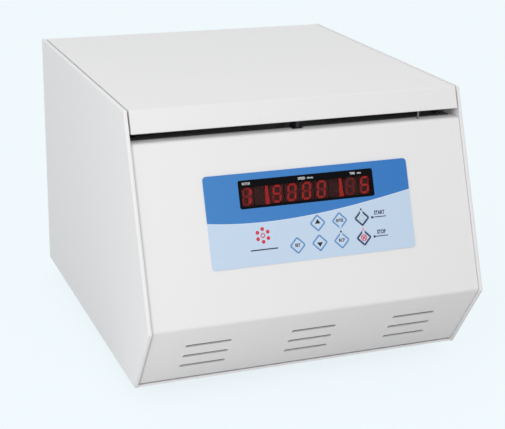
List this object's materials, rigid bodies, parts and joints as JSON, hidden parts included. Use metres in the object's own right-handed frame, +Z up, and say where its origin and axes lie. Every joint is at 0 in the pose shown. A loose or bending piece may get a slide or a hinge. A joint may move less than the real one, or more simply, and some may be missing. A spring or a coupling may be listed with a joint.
{
  "type": "benchtop centrifuge",
  "caption": "Benchtop centrifuge in a white sheet-steel housing with a sloping control panel, hinged full-width lid and an angle rotor in a steel chamber.",
  "frame": {"origin": "on the floor under the middle of the housing, at the underside of the feet", "axes": "+X to the right seen from the front, +Y to the back, +Z up; the control panel faces -Y"},
  "size_m": [0.3, 0.37, 0.246],
  "materials": {
    "shell_paint": "fine textured powder coat, warm white, satin",
    "inner_steel": "light grey paint over sheet steel, satin",
    "bowl_steel": "pressed stainless steel with turned grain",
    "guard_iron": "dark primed steel",
    "liner_plastic": "moulded light grey plastic",
    "seal_rubber": "black moulded rubber, matt",
    "foot_rubber": "black rubber",
    "bright_steel": "ground steel",
    "screw_zinc": "zinc plated steel",
    "rotor_aluminium": "turned and anodised aluminium",
    "nut_steel": "polished steel",
    "motor_shell": "dark painted motor housing",
    "winding_copper": "enamelled copper on a laminated core",
    "core_steel": "laminated steel",
    "overlay_film": "printed polyester film, blue and pale blue, fine matt",
    "key_film": "printed polyester film with diamond outlines",
    "display_tint": "dark red tinted window, gloss",
    "digit_red": "red seven-segment numerals",
    "board_green": "green circuit board",
    "black_plastic": "black moulded plastic",
    "rocker_plastic": "black gloss rocker",
    "sink_aluminium": "extruded aluminium"
  },
  "bodies": {
    "housing": {"side_panel_left": "shell_paint", "side_panel_right": "shell_paint", "front_panel": "shell_paint", "rear_panel": "shell_paint", "base_pan": "shell_paint", "deck_plate": "inner_steel", "hinge_brackets": "inner_steel", "lock_bracket": "inner_steel", "motor_plate": "inner_steel", "chamber_bowl": "bowl_steel", "guard_ring": "guard_iron", "chamber_gasket": "seal_rubber", "shaft_boot": "seal_rubber", "feet": "foot_rubber", "motor_dampers": "foot_rubber", "hinge_pins": "bright_steel", "lock_pin": "bright_steel", "motor_bearings": "bright_steel", "foot_screws": "screw_zinc", "rear_screws": "screw_zinc", "deck_screws": "screw_zinc", "motor_screws": "screw_zinc", "board_standoffs": "screw_zinc", "main_board_posts": "screw_zinc", "motor_housing": "motor_shell", "motor_stator": "winding_copper", "lock_solenoid": "core_steel", "keypad_overlay": "overlay_film", "display_window": "display_tint", "led_digits": "digit_red", "display_board": "board_green", "main_board": "board_green", "key_switches": "black_plastic", "lid_switch": "black_plastic", "fan_frame": "black_plastic", "power_inlet": "black_plastic", "switch_frame": "black_plastic", "fuse_holder": "black_plastic", "capacitors": "black_plastic", "heat_sink": "sink_aluminium"},
    "lid": {"lid_cover": "shell_paint", "lid_liner": "liner_plastic", "lid_striker": "guard_iron", "hinge_arms": "inner_steel"},
    "rotor": {"drive_shaft": "bright_steel", "motor_armature": "core_steel", "rotor_body": "rotor_aluminium", "rotor_nut": "nut_steel"},
    "key_set": {"key_set": "key_film"},
    "key_up": {"key_up": "key_film"},
    "key_down": {"key_down": "key_film"},
    "key_enter": {"key_enter": "key_film"},
    "key_mode": {"key_mode": "key_film"},
    "key_start": {"key_start": "key_film"},
    "key_stop": {"key_stop": "key_film"},
    "hook": {"lock_hook": "bright_steel"},
    "plunger": {"solenoid_plunger": "bright_steel"},
    "lid_pin": {"lid_switch_plunger": "bright_steel"},
    "fan": {"fan_impeller": "black_plastic"},
    "rocker": {"power_rocker": "rocker_plastic"}
  },
  "joints": [
    {"name": "lid_hinge", "type": "hinge", "parent": "housing", "child": "lid", "pos_m": [0, 0.173, 0.236], "axis": [-1, 0, 0], "range_deg": [0, 80]},
    {"name": "rotor_spin", "type": "hinge", "parent": "housing", "child": "rotor", "pos_m": [0, 0.027, 0.15], "axis": [0, 0, 1], "continuous": true},
    {"name": "key_set_press", "type": "slide", "parent": "housing", "child": "key_set", "axis": [0, 0.9331, -0.3597], "range_m": [0, 0.0005], "stiffness_N_per_m": 3000},
    {"name": "key_up_press", "type": "slide", "parent": "housing", "child": "key_up", "axis": [0, 0.9331, -0.3597], "range_m": [0, 0.0005], "stiffness_N_per_m": 3000},
    {"name": "key_down_press", "type": "slide", "parent": "housing", "child": "key_down", "axis": [0, 0.9331, -0.3597], "range_m": [0, 0.0005], "stiffness_N_per_m": 3000},
    {"name": "key_enter_press", "type": "slide", "parent": "housing", "child": "key_enter", "axis": [0, 0.9331, -0.3597], "range_m": [0, 0.0005], "stiffness_N_per_m": 3000},
    {"name": "key_mode_press", "type": "slide", "parent": "housing", "child": "key_mode", "axis": [0, 0.9331, -0.3597], "range_m": [0, 0.0005], "stiffness_N_per_m": 3000},
    {"name": "key_start_press", "type": "slide", "parent": "housing", "child": "key_start", "axis": [0, 0.9331, -0.3597], "range_m": [0, 0.0005], "stiffness_N_per_m": 3000},
    {"name": "key_stop_press", "type": "slide", "parent": "housing", "child": "key_stop", "axis": [0, 0.9331, -0.3597], "range_m": [0, 0.0005], "stiffness_N_per_m": 3000},
    {"name": "hook_swing", "type": "hinge", "parent": "housing", "child": "hook", "pos_m": [0.018, -0.112, 0.186], "axis": [0, -1, 0], "range_deg": [0, 18], "stiffness_Nm_per_rad": 0.3},
    {"name": "plunger_slide", "type": "slide", "parent": "housing", "child": "plunger", "axis": [1, 0, 0], "range_m": [0, 0.0032]},
    {"name": "lid_pin_press", "type": "slide", "parent": "housing", "child": "lid_pin", "axis": [0, 0, 1], "range_m": [-0.0025, 0], "stiffness_N_per_m": 400},
    {"name": "fan_spin", "type": "hinge", "parent": "housing", "child": "fan", "pos_m": [0.088, 0.166, 0.096], "axis": [0, 1, 0], "continuous": true},
    {"name": "rocker_tilt", "type": "hinge", "parent": "housing", "child": "rocker", "pos_m": [-0.058, 0.176, 0.06], "axis": [-1, 0, 0], "range_deg": [0, 20]}
  ],
  "couplings": [
    {"joint": "plunger_slide", "follows": "hook_swing", "m_per_rad": 0.01}
  ]
}
